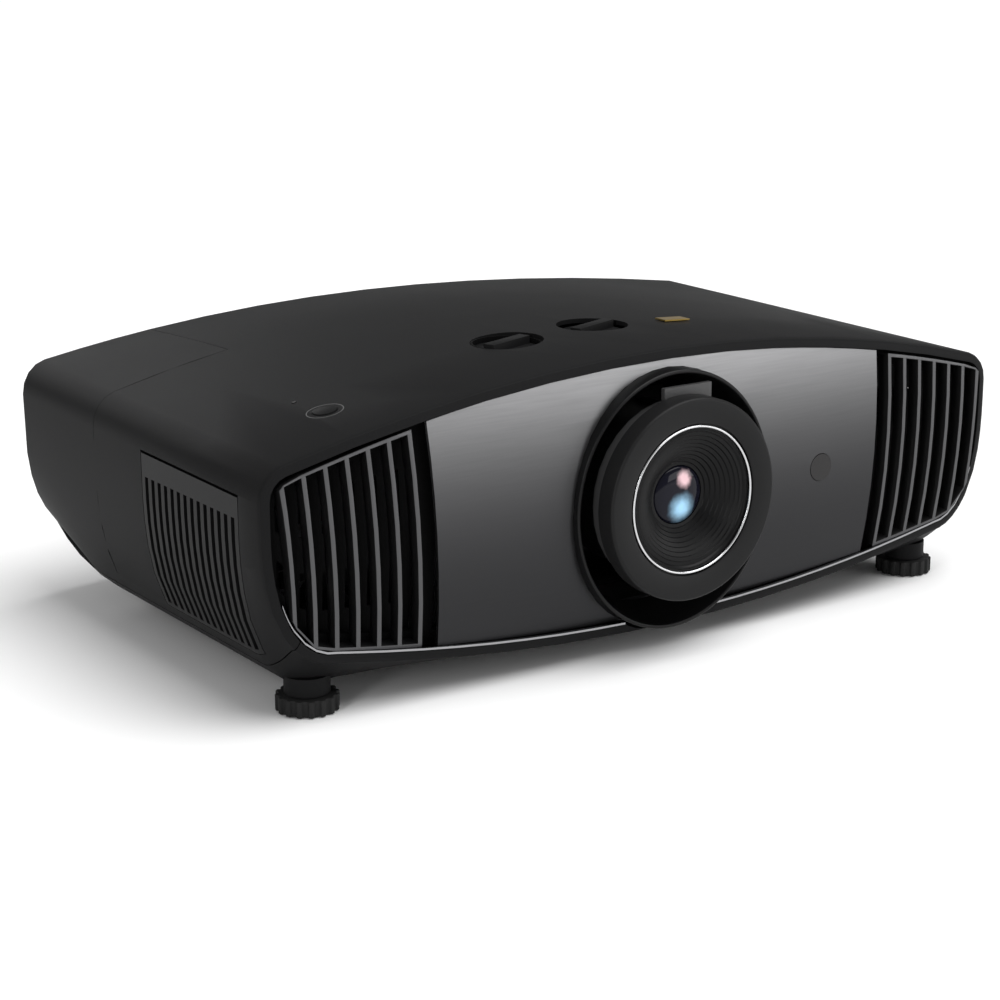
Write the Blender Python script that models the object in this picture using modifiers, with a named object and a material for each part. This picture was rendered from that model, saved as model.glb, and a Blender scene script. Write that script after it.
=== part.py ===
"""Home projector: a crowned plastic casing around a shifting zoom lens, its light engine and its feet.

Units are metres, +Z is up and the lens looks along -Y. The origin is on the floor under the middle.
"""
import math

import bmesh
import bpy
from mathutils import Matrix, Vector

# Casing: overall sizes
BODY_WIDTH = 0.4934
FRONT_Y_SIDE = -0.1395
FRONT_Y_MIDDLE = -0.1455
REAR_Y_SIDE = 0.1390
REAR_Y_MIDDLE = 0.1672
TOP_FRONT = 0.1668
TOP_DROP = 0.0138
SHOULDER_X = 0.232
SHOULDER_FRONT = 0.1360
SHOULDER_RISE = 0.0032
SHOULDER_RADIUS = 0.018
UNDERSIDE = 0.0120
HULL_START = 0.107
HULL_INSET = 0.040
HULL_POWER = 2.6
REAR_LIFT = 0.022
REAR_LIFT_START = 0.744
CHIN_LENGTH = 0.10
CHIN_RISE = 0.42
WALL = 0.0026
EDGE_RADIUS = 0.003
LIP = 0.0055
GAP = 0.0003
SPLIT = 2.61

# Front panel and fins
PANEL_HALF = 0.152
PANEL_THICK = 0.0020
PANEL_TOP_Y = -0.1420
PANEL_BOW = 0.080
PANEL_BULGE = 0.0065
PANEL_MID_Z = 0.090
PANEL_BULGE_HALF = 0.068
FIN_COUNT = 7
FIN_FIRST = 0.1606
FIN_PITCH = 0.0121
FIN_WIDTH = 0.0024
FIN_DEPTH = 0.0075
FRAME_THICK = 0.004

# Lens
LENS_Z = 0.0879
LENS_FRONT_Y = -0.1672
HOOD_Z = 0.0845
HOOD_HALF_WIDTH = 0.0660
HOOD_HALF_HEIGHT = 0.0715
HOOD_FRONT_Y = -0.1520
HOOD_DEPTH = 0.030
FOCUS_RADIUS = 0.0555
BARREL_RADIUS = 0.0480
TRIM_RADIUS = 0.0400
GLASS_RADIUS = 0.0160
REAR_BARREL_RADIUS = 0.030
ROUND_STEPS = 32

# Lens shift carriages
MOUNT_Y = -0.046
MOUNT_THICK = 0.004
MOUNT_HALF = 0.072
MOUNT_TOP = 0.150
LIFT_Y = -0.057
LIFT_THICK = 0.008
CROSS_Y = -0.088
CROSS_THICK = 0.008
ROD_RADIUS = 0.002
ROD_CLEARANCE = 0.0003
LIFT_ROD_X = 0.062
CROSS_ROD_RISE = 0.038
LIFT_DIAL = (-0.054, -0.070)
CROSS_DIAL = (0.007, -0.066)
DIAL_RADIUS = 0.0185
WELL_WALL = 0.0012
WELL_DEPTH = 0.0070
SCREW_RADIUS = 0.003
PINION_TEETH = 14
PINION_MODULE = 0.001
TOOTH_SHARE = 0.38

# Inside floor
CHASSIS_THICK = 0.002
FOOT_X = 0.209
FOOT_Y = -0.115
REAR_FOOT_Y = 0.060
FOOT_RADIUS = 0.0165
FOOT_STEM = 0.004
FOOT_COLLAR = 0.0120
FOOT_PLAY = 0.0004
FOOT_THICK = 0.0087
REAR_FOOT_X = 0.150
REAR_FOOT_RADIUS = 0.012

# Casing details
POWER_BUTTON = (-0.1835, -0.0950)
BUTTON_RADIUS = 0.0065
INDICATOR = (-0.1860, -0.0680)
INDICATOR_RADIUS = 0.0013
GRILLE_THICK = 0.0022
REAR_RECESS = 0.004
REAR_THICK = 0.003
IR_WINDOW = (0.108, 0.086)
IR_RADIUS = 0.0078
TRIM_HEIGHT = 0.0011
TOP_SHADOW = 0.0008
TRIM_DEPTH = 0.0020
TRIM_PROUD = 0.0004
TRIM_HOOD_GAP = 0.0290
PANEL_FLARE = 0.040
FIN_SLANT = 0.0055
FIN_RAIL = 0.016
FRAME_BAND = 0.0085
FRAME_LOW = 0.1
FRAME_HIGH = 0.9

# Rear sockets and keys
SOCKET_COUNT = 3
SOCKET_X = 0.010
SOCKET_PITCH = 0.026
SOCKET_HALF = 0.0100
SOCKET_HEIGHT = 0.0090
SOCKET_Z = 0.070
SOCKET_POCKET = (0.0150, 0.0050, 0.0100)
INLET_X = -0.110
INLET_Z = 0.060
INLET_HALF = 0.0160
INLET_RISE = 0.0120
INLET_POCKET_DEPTH = 0.016
KEY_X = (0.130, 0.150)
KEY_Z = 0.100
KEY_RADIUS = 0.0050
KEY_LENGTH = 0.007
BOARD_Y = 0.138
BOARD_THICK = 0.0016

BOARD_LOW = 0.040
BOARD_TOP = 0.105

# Lens shift frame and plates
MOUNT_FRONT = -0.078
MOUNT_FOOT_BACK = -0.030
MOUNT_FOOT_THICK = 0.003
MOUNT_ROOF = 0.004
LIGHT_BORE = 0.034
LIFT_PLATE_HALF = (0.068, 0.050)
CROSS_PLATE_HALF = (0.041, 0.044)
ROD_EAR_IN = 0.0460
ROD_EAR_OUT = 0.0495
ROD_EAR_HALF = 0.005
NUT_HALF = 0.006
NUT_RISE = 0.007

# Light engine, lamp, fans and heat sink
CHASSIS_HALF = 0.195
CHASSIS_FRONT = -0.105
CHASSIS_BACK = 0.066
ENGINE_LEFT = -0.075
ENGINE_RIGHT = 0.060
ENGINE_FRONT = -0.029
ENGINE_BACK = 0.100
ENGINE_TOP = 0.115
WHEEL_Y = 0.035
WHEEL_Z = 0.075
WHEEL_RADIUS = 0.026
LAMP_LEFT = -0.200
LAMP_RIGHT = -0.128
LAMP_FRONT = 0.012
LAMP_BACK = 0.098
LAMP_TOP = 0.120
LAMP_Y = 0.055
LAMP_MOUTH = 0.030
FAN_X = 0.193
FAN_LOW = 0.038
FAN_HALF = 0.035
FAN_FRONT = -0.118
FAN_BACK = -0.098
FAN_WALL = 0.0025
FAN_HUB = 0.013
FAN_BOSS = 0.012
FAN_BLADES = 9
SINK_FRONT = 0.004
SINK_BACK = 0.076
SINK_VANE = 0.003
SINK_VANES = 8
SINK_ROOT = 0.066
SINK_TIP = 0.095
SINK_LOW = 0.034
SINK_TOP = 0.101

# Dials, badge and zoom lever
GRIP_ANGLE = 20.0
RACK_Z = 0.1215
RACK_TEETH = 8
RACK_HALF = 0.0025
PINION_HALF = 0.011
TOOTH_ROOT = 0.0011
TOOTH_TIP = 0.0007
TOOTH_FLARE = 0.14
DIAL_THICK = 0.0040
GRIP_INSET = 0.0015
GRIP_HALF = 0.0035
GRIP_RISE = 0.0050
WELL_SINK = 0.0014
ZOOM_TAB_X = 0.0040
ZOOM_TAB_HALF = 0.0160
ZOOM_TAB_RADIUS = 0.0600
BADGE = (0.048, 0.066, -0.080, -0.071)
BADGE_THICK = 0.0008

FINISHES = (
    ("casing", (0.020, 0.020, 0.021), 0.50, 0.0),
    ("grille", (0.012, 0.012, 0.013), 0.45, 0.0),
    ("gunmetal", (0.20, 0.20, 0.21), 0.32, 0.85),
    ("fin", (0.05, 0.05, 0.052), 0.40, 0.3),
    ("inner_black", (0.008, 0.008, 0.009), 0.60, 0.0),
    ("mesh", (0.010, 0.010, 0.010), 0.60, 0.0),
    ("bright_trim", (0.45, 0.45, 0.46), 0.25, 1.0),
    ("lens_black", (0.014, 0.014, 0.015), 0.40, 0.0),
    ("silver", (0.75, 0.75, 0.76), 0.18, 1.0),
    ("glass", (0.35, 0.45, 0.60), 0.03, 0.0),
    ("window", (0.030, 0.012, 0.016), 0.10, 0.0),
    ("gold", (0.60, 0.42, 0.12), 0.30, 1.0),
    ("steel", (0.40, 0.40, 0.41), 0.35, 1.0),
    ("cast", (0.28, 0.28, 0.29), 0.50, 0.8),
    ("brass", (0.62, 0.48, 0.20), 0.30, 1.0),
    ("board", (0.02, 0.12, 0.05), 0.50, 0.0),
    ("rubber", (0.015, 0.015, 0.015), 0.80, 0.0),
)

COLLECTION = "home_projector"
CUTTERS = "home_projector_cutters"
materials = {}


def clear_scene():
    for item in list(bpy.data.objects):
        bpy.data.objects.remove(item, do_unlink=True)
    for name in (COLLECTION, CUTTERS):
        group = bpy.data.collections.new(name)
        bpy.context.scene.collection.children.link(group)


def make_material(name, colour, roughness, metallic=0.0):
    made = bpy.data.materials.new(name)
    made.use_nodes = True
    shader = made.node_tree.nodes["Principled BSDF"]
    shader.inputs["Base Color"].default_value = (*colour, 1.0)
    shader.inputs["Roughness"].default_value = roughness
    shader.inputs["Metallic"].default_value = metallic
    materials[name] = made


def add_part(name, mesh_data, finish, hidden=False):
    mesh = bpy.data.meshes.new(name)
    mesh_data.to_mesh(mesh)
    mesh_data.free()
    part = bpy.data.objects.new(name, mesh)
    bpy.data.collections[CUTTERS if hidden else COLLECTION].objects.link(part)
    if hidden:
        part.hide_render = True
        part.display_type = "WIRE"
    else:
        # Every part owns its material, so one part's finish can change by itself.
        own = materials[finish].copy()
        own.name = name + "_finish"
        mesh.materials.append(own)
    return part


def box(name, low, high, finish=None, bevel=0.0):
    data = bmesh.new()
    bmesh.ops.create_cube(data, size=1.0)
    low, high = Vector(low), Vector(high)
    for corner in data.verts:
        corner.co = Vector((low[i] + (corner.co[i] + 0.5) * (high[i] - low[i]) for i in range(3)))
    part = add_part(name, data, finish, hidden=finish is None)
    if bevel:
        rounding = part.modifiers.new("rounded edges", "BEVEL")
        rounding.width = bevel
        rounding.segments = 2
    return part


def rod(name, start, end, radius, finish=None, steps=24, end_radius=None):
    """A round bar from start to end, or a cone when the end has its own radius."""
    start, end = Vector(start), Vector(end)
    along = end - start
    data = bmesh.new()
    bmesh.ops.create_cone(data, cap_ends=True, segments=steps, radius1=radius,
                          radius2=radius if end_radius is None else end_radius, depth=along.length)
    turn = Vector((0, 0, 1)).rotation_difference(along.normalized()).to_matrix().to_4x4()
    bmesh.ops.transform(data, matrix=Matrix.Translation((start + end) / 2) @ turn, verts=data.verts)
    return shade_round(add_part(name, data, finish, hidden=finish is None))


def turned(name, profile, place, finish=None, steps=ROUND_STEPS, forward=True, stretch=1.0):
    """Turn (radius, height) points about the part's own Z, which is laid along -Y when forward is set.

    The points run down the outer side and, for a ring, back up the inner side to where they began.
    """
    data = bmesh.new()
    points = [data.verts.new((radius, 0.0, height)) for radius, height in profile]
    on_axis = profile[0][0] == 0.0 and profile[-1][0] == 0.0
    pairs = zip(points, points[1:] if on_axis else points[1:] + points[:1])
    for first, second in pairs:
        data.edges.new((first, second))
    part = add_part(name, data, finish, hidden=finish is None)
    screw = part.modifiers.new("turning", "SCREW")
    screw.axis = "Z"
    screw.steps = steps
    screw.render_steps = steps
    screw.use_merge_vertices = True
    screw.merge_threshold = 0.00001
    part.location = place
    if forward:
        part.rotation_euler = (math.pi / 2, 0.0, 0.0)
    if stretch != 1.0:
        part.scale = (1.0, stretch, 1.0)
    return part


def shade_round(part):
    part.data.shade_smooth()
    part.data.set_sharp_from_angle(angle=math.radians(35))
    return part


def combine(part, other, operation="DIFFERENCE"):
    step = part.modifiers.new(operation.lower(), "BOOLEAN")
    step.operation = operation
    step.object = other
    return part


def surface(name, columns, rows, point, thickness, finish, keep=None):
    """A curved sheet: a grid whose corners go to point(column, row), thickened away from its normals."""
    data = bmesh.new()
    bmesh.ops.create_grid(data, x_segments=len(columns) - 1, y_segments=len(rows) - 1, size=1.0)
    spot = {}
    for corner in data.verts:
        i = round((corner.co.x + 1) / 2 * (len(columns) - 1))
        j = round((corner.co.y + 1) / 2 * (len(rows) - 1))
        spot[corner] = (i, j)
    if keep:
        unwanted = []
        for face in data.faces:
            i = min(spot[corner][0] for corner in face.verts)
            j = min(spot[corner][1] for corner in face.verts)
            middle = ((columns[i] + columns[i + 1]) / 2, (rows[j] + rows[j + 1]) / 2)
            if not keep(*middle):
                unwanted.append(face)
        bmesh.ops.delete(data, geom=unwanted, context="FACES")
    for corner in data.verts:
        i, j = spot[corner]
        corner.co = point(columns[i], rows[j])
    part = add_part(name, data, finish)
    shell = part.modifiers.new("wall", "SOLIDIFY")
    shell.thickness = thickness
    shell.offset = -1.0
    shell.use_even_offset = False
    return part


def spread(first, last, count):
    return [first + (last - first) * i / count for i in range(count + 1)]


def merged(*groups):
    """Sorted grid lines without near repeats."""
    lines = sorted(value for group in groups for value in group)
    kept = [lines[0]]
    for value in lines[1:]:
        if value - kept[-1] > 1e-6:
            kept.append(value)
    return kept


# Casing outline: t runs from the middle of the top (0) to the shoulder (1), round it (2), down the side and
# the hull (3) and in to the middle of the underside (4); negative t is the left side. s runs front to rear.
def outline(s):
    shoulder = SHOULDER_FRONT + SHOULDER_RISE * s
    top = TOP_FRONT - TOP_DROP * s ** 3
    crown = (top - shoulder) / SHOULDER_X ** 2
    if s < CHIN_LENGTH:
        chin = CHIN_RISE * (1 - s / CHIN_LENGTH) ** 1.5
        low = UNDERSIDE
    else:
        chin = 0.0
        low = UNDERSIDE + REAR_LIFT * max(0.0, (s - REAR_LIFT_START) / (1 - REAR_LIFT_START)) ** 2.4
    return top, crown, low, chin


def shoulder_arc(s, inset):
    top, crown, low, chin = outline(s)
    half = BODY_WIDTH / 2
    x = half - SHOULDER_RADIUS
    for _ in range(8):
        lean = 2 * crown * x / math.hypot(1.0, 2 * crown * x)
        x = half - SHOULDER_RADIUS + SHOULDER_RADIUS * lean
    upright = 1.0 / math.hypot(1.0, 2 * crown * x)
    centre_z = top - crown * x * x - SHOULDER_RADIUS * upright
    start = math.atan2(upright, lean)
    return half - SHOULDER_RADIUS, centre_z, SHOULDER_RADIUS - inset, start


def outline_point(t, s, inset=0.0):
    side = -1.0 if t < 0 else 1.0
    if abs(t) > 4:
        side, t = -side, 8 - abs(t)
    t = abs(t)
    top, crown, low, chin = outline(s)
    half = BODY_WIDTH / 2
    flat = half - HULL_INSET
    centre_x, centre_z, radius, start = shoulder_arc(s, inset)
    if t <= 1:
        tangent = centre_x + radius * math.cos(start)
        x = t * tangent
        z = top - crown * x * x - inset
        if t > 0.999:
            z = centre_z + radius * math.sin(start)
    elif t <= 2:
        angle = start * (2 - t)
        x = centre_x + radius * math.cos(angle)
        z = centre_z + radius * math.sin(angle)
    elif t <= 3:
        angle = math.pi / 2 * (t - 2)
        foot = low + chin * flat ** 2 + inset
        x = half - inset - (HULL_INSET - inset) * (1 - math.cos(angle))
        z = HULL_START - (HULL_START - foot) * math.sin(angle) ** (2 / HULL_POWER)
    else:
        x = flat * (4 - t)
        z = low + chin * x * x + inset
    return side * x, z


def high_z(x, s, inset):
    """Height of the casing's inset outline above x."""
    top, crown, low, chin = outline(s)
    centre_x, centre_z, radius, start = shoulder_arc(s, inset)
    x = abs(x)
    if x <= centre_x + radius * math.cos(start):
        return top - crown * x * x - inset
    return centre_z + math.sqrt(max(0.0, radius ** 2 - (x - centre_x) ** 2))


def low_z(x, s, inset):
    """Height of the lower side of the inset outline at x."""
    top, crown, low, chin = outline(s)
    half = BODY_WIDTH / 2
    flat = half - HULL_INSET
    x = abs(x)
    if x <= flat:
        return low + chin * x * x + inset
    turn = 1 - (half - inset - x) / (HULL_INSET - inset)
    angle = math.acos(min(1.0, max(-1.0, turn)))
    foot = low + chin * flat ** 2 + inset
    return HULL_START - (HULL_START - foot) * math.sin(angle) ** (2 / HULL_POWER)


def bow(x):
    return 1 - (x / (BODY_WIDTH / 2)) ** 2


def front_y(x):
    return FRONT_Y_SIDE + (FRONT_Y_MIDDLE - FRONT_Y_SIDE) * bow(x)


def rear_y(x):
    return REAR_Y_SIDE + (REAR_Y_MIDDLE - REAR_Y_SIDE) * bow(x)


def casing_point(t, v):
    """v from 0 to 1 runs front to rear; below 0 the skin rolls over the front edge and down its lip."""
    if v >= 0:
        x, z = outline_point(t, v)
        y = front_y(x) + EDGE_RADIUS + v * (rear_y(x) - front_y(x) - EDGE_RADIUS)
        return Vector((x, y, z))
    roll = min(1.0, -v / 0.5) * math.pi / 2
    inset = EDGE_RADIUS * (1 - math.cos(roll)) + (LIP - EDGE_RADIUS) * max(0.0, (-v - 0.5) / 0.5)
    x, z = outline_point(t, 0.0, inset)
    return Vector((x, front_y(x) + EDGE_RADIUS * (1 - math.sin(roll)), z))


def station(y, x=BODY_WIDTH / 2):
    """The s value where the casing skin passes y at x."""
    return (y - front_y(x) - EDGE_RADIUS) / (rear_y(x) - front_y(x) - EDGE_RADIUS)


def panel_y(x, z):
    swell = 1 - ((z - PANEL_MID_Z) / PANEL_BULGE_HALF) ** 2
    return PANEL_TOP_Y + PANEL_BOW * x * x - PANEL_BULGE * swell


def front_sheet(name, columns, rows, inset, back, thickness, finish, keep=None):
    """A sheet that follows the bulged front, set back by `back`; rows run 0 (bottom) to 1 (top)."""
    def point(x, v):
        low, high = low_z(x, 0.0, inset), high_z(x, 0.0, inset)
        z = low + v * (high - low)
        return Vector((x, panel_y(x, z) + back, z))
    return surface(name, columns, rows, point, thickness, finish, keep)


def extruded(name, points, low, high, finish=None, plane="XY"):
    """Push a flat outline from low to high along the axis square to its plane."""
    data = bmesh.new()
    lift = {"XY": lambda a, b: (a, b, low), "XZ": lambda a, b: (a, low, b), "YZ": lambda a, b: (low, a, b)}
    axis = {"XY": Vector((0, 0, 1)), "XZ": Vector((0, 1, 0)), "YZ": Vector((1, 0, 0))}
    face = data.faces.new([data.verts.new(lift[plane](a, b)) for a, b in points])
    pushed = bmesh.ops.extrude_face_region(data, geom=[face])
    moved = [item for item in pushed["geom"] if isinstance(item, bmesh.types.BMVert)]
    bmesh.ops.translate(data, vec=axis[plane] * (high - low), verts=moved)
    bmesh.ops.recalc_face_normals(data, faces=data.faces[:])
    return add_part(name, data, finish, hidden=finish is None)


def toothed(count, root, tip, root_share, tip_share, centre=(0.0, 0.0), start=-math.pi / 2):
    """Outline of a wheel with straight-sided teeth, the first one centred on the start angle."""
    points = []
    step = 2 * math.pi / count
    for i in range(count):
        middle = start + i * step
        for radius, share in ((root, -root_share), (tip, -tip_share), (tip, tip_share), (root, root_share)):
            angle = middle + share * step / 2
            points.append((centre[0] + radius * math.cos(angle), centre[1] + radius * math.sin(angle)))
    return points


def top_at(x, y):
    return high_z(x, station(y, x), 0.0)


def top_normal(x, y):
    """Outward direction of the casing's top at (x, y)."""
    reach = 0.002
    along = Vector((2 * reach, 0.0, top_at(x + reach, y) - top_at(x - reach, y)))
    back = Vector((0.0, 2 * reach, top_at(x, y + reach) - top_at(x, y - reach)))
    return along.cross(back).normalized()


def top_rod(name, spot, below, above, radius, finish=None, steps=32):
    """A round piece or hole square to the casing's top, from below it to above it."""
    middle = Vector((*spot, top_at(*spot)))
    normal = top_normal(*spot)
    return rod(name, middle - normal * below, middle + normal * above, radius, finish, steps)


# Grid lines that the cover, the side grilles and the lamp door share
GRILLE_FRONT = station(-0.1180)
GRILLE_REAR = station(-0.0120)
GRILLE_LINES = [2.0, 2.002, 2.05, 2.12, 2.21, 2.33, 2.49, 2.525]
GRILLE_SLATS = 14
DOOR_FRONT = station(0.0450)
DOOR_EDGE = 0.68
SEAM_T = 0.0045
SEAM_S = 0.0012
GRILLE_SEAM_S = 0.0024
SIDE_LINES = GRILLE_LINES + [SPLIT - SEAM_T]
FRONT_ROLL = [-1.0, -0.5, -0.25]


def cover_lines():
    half = spread(0.0, DOOR_EDGE, 4) + spread(DOOR_EDGE, 1.0, 2) + spread(1.0, 2.0, 4) + SIDE_LINES
    return merged(half, [-value for value in half])


def in_grille(t, v):
    return GRILLE_LINES[0] < abs(t) < GRILLE_LINES[-1] and GRILLE_FRONT < v < GRILLE_REAR


def in_door(t, v):
    return t < -DOOR_EDGE and v > DOOR_FRONT


def build_casing():
    rows = merged(FRONT_ROLL, [0.0, CHIN_LENGTH * 0.4, GRILLE_FRONT, 0.085, CHIN_LENGTH, 0.24, GRILLE_REAR, DOOR_FRONT],
                  [0.80, 1.0])
    cover = surface("top_cover", cover_lines(), rows, casing_point, WALL, "casing",
                    lambda t, v: not in_grille(t, v) and not in_door(t, v))
    for x, y in (LIFT_DIAL, CROSS_DIAL):
        hole = DIAL_RADIUS + WELL_WALL + 2 * GAP
        combine(cover, rod("dial_hole", (x, y, 0.13), (x, y, 0.18), hole, steps=32))
    combine(cover, top_rod("power_hole", POWER_BUTTON, 0.010, 0.010, BUTTON_RADIUS + GAP))
    combine(cover, top_rod("indicator_hole", INDICATOR, 0.010, 0.010, INDICATOR_RADIUS + GAP, steps=16))

    door_columns = merged(spread(-SPLIT + SEAM_T, -2.0, 5), spread(-2.0, -1.0, 4),
                          spread(-1.0, -DOOR_EDGE - SEAM_T / 3, 3))
    surface("lamp_door", door_columns, [DOOR_FRONT + SEAM_S, 0.80, 1.0], casing_point, WALL, "casing")

    under = merged(spread(SPLIT + SEAM_T, 3.0, 4), spread(3.0, 5.0, 12), spread(5.0, 8 - SPLIT - SEAM_T, 4))
    case_rows = merged(FRONT_ROLL, spread(0.0, CHIN_LENGTH, 4), [0.4, REAR_LIFT_START, 0.82, 0.88, 0.94, 1.0])
    case = surface("bottom_case", under, case_rows, casing_point, WALL, "casing")
    combine(case, hood_cutter("case_hood_cut", 0.0020))
    for side in (-1, 1):
        collar_low = FOOT_THICK + 2 * GAP
        combine(case, rod("foot_collar", (side * FOOT_X, FOOT_Y, collar_low), (side * FOOT_X, FOOT_Y, 0.019),
                          FOOT_COLLAR, steps=28), "UNION")
        combine(case, rod("foot_hole", (side * FOOT_X, FOOT_Y, 0.0), (side * FOOT_X, FOOT_Y, 0.05),
                          FOOT_STEM + FOOT_PLAY, steps=24))

    def rear_point(x, v):
        low, high = low_z(x, 1.0, WALL + GAP), high_z(x, 1.0, WALL + GAP)
        return Vector((x, rear_y(x) - REAR_RECESS, low + v * (high - low)))
    edge = BODY_WIDTH / 2 - WALL - GAP - 0.0015
    columns = merged(spread(edge, 0.215, 4), spread(0.215, -0.215, 14), spread(-0.215, -edge, 4))[::-1]
    rear = surface("rear_panel", columns, spread(0.0, 1.0, 2), rear_point, REAR_THICK, "casing")
    low_y, high_y = 0.10, 0.20
    for i in range(SOCKET_COUNT):
        x = SOCKET_X + i * SOCKET_PITCH
        combine(rear, box("socket_hole", (x - SOCKET_HALF - GAP, low_y, SOCKET_Z - SOCKET_HEIGHT / 2 - GAP),
                          (x + SOCKET_HALF + GAP, high_y, SOCKET_Z + SOCKET_HEIGHT / 2 + GAP)))
    combine(rear, box("inlet_hole", (INLET_X - INLET_HALF - GAP, low_y, INLET_Z - INLET_RISE - GAP),
                      (INLET_X + INLET_HALF + GAP, high_y, INLET_Z + INLET_RISE + GAP)))
    for i, x in enumerate(KEY_X):
        combine(rear, rod("key_hole", (x, low_y, KEY_Z), (x, high_y, KEY_Z), KEY_RADIUS + GAP, steps=24))


def build_side_grille(side):
    """Upright slats between the cover's edges, in the cover's own curve."""
    name = "left" if side < 0 else "right"
    first, last = GRILLE_FRONT + GRILLE_SEAM_S, GRILLE_REAR - GRILLE_SEAM_S
    cell = (last - first) / (2 * GRILLE_SLATS + 1)
    rows = [first + cell * i for i in range(2 * GRILLE_SLATS + 2)]
    inner = GRILLE_LINES[:]
    inner[-1] -= SEAM_T
    columns = [side * value for value in inner]
    if side < 0:
        columns.reverse()
    top_line, bottom_line = GRILLE_LINES[1], GRILLE_LINES[-2]

    def point(t, v):
        place = casing_point(t, v)
        if abs(t) == GRILLE_LINES[0]:
            place.z -= 5 * GAP
        return place

    def keep(t, v):
        bar = int((v - first) / cell)
        return bar % 2 == 0 or abs(t) < top_line or abs(t) > bottom_line
    surface(name + "_side_grille", columns, rows, point, GRILLE_THICK, "grille", keep)


def hood_cutter(name, margin):
    half = HOOD_HALF_WIDTH + margin
    length = HOOD_DEPTH + 0.020
    return turned(name, [(0.0, length), (half, length), (half, 0.0), (0.0, 0.0)],
                  (0.0, HOOD_FRONT_Y + HOOD_DEPTH + 0.003, HOOD_Z), steps=40,
                  stretch=(HOOD_HALF_HEIGHT + margin) / half)


def build_front():
    inset = LIP + 3 * GAP + TRIM_HEIGHT
    top_inset = LIP + TOP_SHADOW

    def panel_point(c, v):
        x = c * (1 + PANEL_FLARE * (v - 0.5))
        low, high = low_z(x, 0.0, inset), high_z(x, 0.0, top_inset)
        z = low + v * (high - low)
        return Vector((x, panel_y(x, z), z))
    panel = surface("front_panel", spread(-PANEL_HALF + 0.002, PANEL_HALF - 0.002, 16), spread(0.0, 1.0, 6),
                    panel_point, PANEL_THICK, "gunmetal")
    combine(panel, hood_cutter("panel_hood_cut", GAP))
    x, z = IR_WINDOW
    combine(panel, rod("window_hole", (x, -0.16, z), (x, -0.12, z), IR_RADIUS + GAP, steps=32))
    face = panel_y(x, z)
    rod("front_ir_window", (x, face + 0.0036, z), (x, face - 0.0002, z), IR_RADIUS, "window", 32)

    def trim_point(x, v):
        return Vector((x, front_y(x) - TRIM_PROUD, low_z(x, 0.0, LIP + 2 * GAP) + v * TRIM_HEIGHT))
    half = merged(spread(TRIM_HOOD_GAP, 0.2, 8), spread(0.2, 0.230, 5), spread(0.230, 0.2360, 4))
    surface("right_lower_trim", half, [0.0, 1.0], trim_point, TRIM_DEPTH, "bright_trim")
    surface("left_lower_trim", [-x for x in reversed(half)], [0.0, 1.0], trim_point, TRIM_DEPTH, "bright_trim")

    back_fins = FIN_DEPTH + GAP
    back_panel = PANEL_THICK + GAP
    outer, bar_out, bar_in, step_in = 0.2392, 0.1570, 0.1465, 0.1430
    half = merged(spread(0.0, step_in, 7), [bar_in], [bar_out], spread(bar_out, 0.232, 5), [0.2365, outer])

    def frame_point(x, v):
        low, high = low_z(x, 0.0, LIP + GAP), high_z(x, 0.0, LIP + GAP)
        z = low + v * (high - low)
        if v == FRAME_LOW:
            z = low + FRAME_BAND
        if v == FRAME_HIGH:
            z = high - FRAME_BAND
        back = back_panel if abs(x) <= step_in + 1e-6 else back_fins
        return Vector((x, panel_y(x, z) + back, z))
    rows = [0.0, FRAME_LOW, 0.3, 0.5, 0.7, FRAME_HIGH, 1.0]

    def keep(x, v):
        return v < FRAME_LOW or v > FRAME_HIGH or bar_in < abs(x) < bar_out
    frame = surface("front_frame", merged(half, [-value for value in half]), rows, frame_point,
                    FRAME_THICK, "inner_black", keep)
    combine(frame, hood_cutter("frame_hood_cut", GAP))

    for side in (-1, 1):
        name = "left" if side < 0 else "right"
        build_fins(name, side, inset)
        build_screen(name, side)


def build_fins(name, side, inset):
    lines = []
    for i in range(FIN_COUNT):
        centre = FIN_FIRST + i * FIN_PITCH
        lines += [centre - FIN_WIDTH / 2, centre + FIN_WIDTH / 2]
    columns = sorted(side * value for value in lines)

    def point(c, v):
        x = c + side * FIN_SLANT * (v - 0.5)
        low, high = low_z(x, 0.0, inset), high_z(x, 0.0, inset)
        z = low + v * (high - low)
        return Vector((x, panel_y(x, z), z))

    def keep(c, v):
        near = (abs(c) - FIN_FIRST) / FIN_PITCH
        return v < FIN_RAIL or v > 1 - FIN_RAIL or abs(near - round(near)) < 0.2
    rows = [0.0, FIN_RAIL] + spread(FIN_RAIL, 1 - FIN_RAIL, 5)[1:-1] + [1 - FIN_RAIL, 1.0]
    surface(name + "_front_fins", columns, rows, point, FIN_DEPTH, "fin", keep)


def build_screen(name, side):
    first, last, cells, levels = 0.1575, 0.2340, 6, 5
    width = (last - first) / (2 * cells)
    lines = spread(first, last, 2 * cells)
    columns = sorted(side * value for value in merged(lines, [0.2388]))
    back = FIN_DEPTH + FRAME_THICK + 3 * GAP

    def keep(x, v):
        i = int((abs(x) - first) / width)
        j = int(v * levels)
        return i % 2 == 0 or j % 2 == 0 or abs(x) > last
    front_sheet(name + "_front_screen", columns, spread(0.0, 1.0, levels), LIP + GAP, back, 0.001, "mesh", keep)


def lens_rod(name, radius, back_y, front_y_value):
    return rod(name, (0.0, back_y, LENS_Z), (0.0, front_y_value, LENS_Z), radius, steps=ROUND_STEPS)


def lens_ring(name, profile, back_y, finish):
    return turned(name, profile, (0.0, back_y, LENS_Z), finish)


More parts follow.
